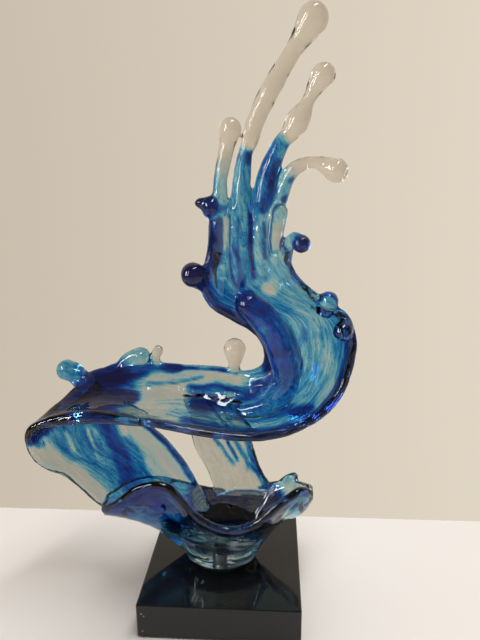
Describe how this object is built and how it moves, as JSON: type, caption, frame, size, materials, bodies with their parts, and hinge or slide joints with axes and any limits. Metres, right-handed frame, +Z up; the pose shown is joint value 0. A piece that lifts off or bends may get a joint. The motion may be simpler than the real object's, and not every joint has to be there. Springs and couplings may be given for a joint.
{
  "type": "wave sculpture",
  "caption": "Free-standing ornament: a breaking wave of clear glass with blue dye that curls up from a bowl-shaped foot into drop-tipped fingers, bolted to a square black plinth.",
  "frame": {"origin": "centre of the felt's underside, on the surface that the sculpture stands on", "axes": "+Z up, +X to the right and +Y away from the viewer of the front, with the fold of the wave at the left"},
  "size_m": [0.2987, 0.15, 0.5436],
  "materials": {
    "clear_glass": "polished clear",
    "blue_glass": "polished, streaked with blue dye",
    "black_stone": "polished black",
    "felt": "felt",
    "rubber": "plain",
    "steel": "zinc plated",
    "soft_pad": "soft"
  },
  "bodies": {
    "root": {"rear_strut": "clear_glass", "finger_tall": "clear_glass", "finger_second": "clear_glass", "finger_bent": "clear_glass", "finger_left": "clear_glass", "shelf_bud": "clear_glass", "shelf_drop": "clear_glass", "foot_bowl": "blue_glass", "riser_wall": "blue_glass", "wave_shelf": "blue_glass", "wave_crest": "blue_glass", "inner_roll": "blue_glass", "crest_loop": "blue_glass", "crest_spur": "blue_glass", "bead_left": "blue_glass", "bead_right": "blue_glass", "curl_bump": "blue_glass", "curl_bead": "blue_glass", "shelf_ear": "blue_glass", "shelf_hump": "blue_glass", "lip_curl": "blue_glass", "plinth": "black_stone", "felt_underlay": "felt", "rubber_washer": "rubber", "steel_washer": "steel", "fixing_bolt": "steel", "threaded_insert": "steel", "bedding_pad": "soft_pad"}
  },
  "joints": []
}
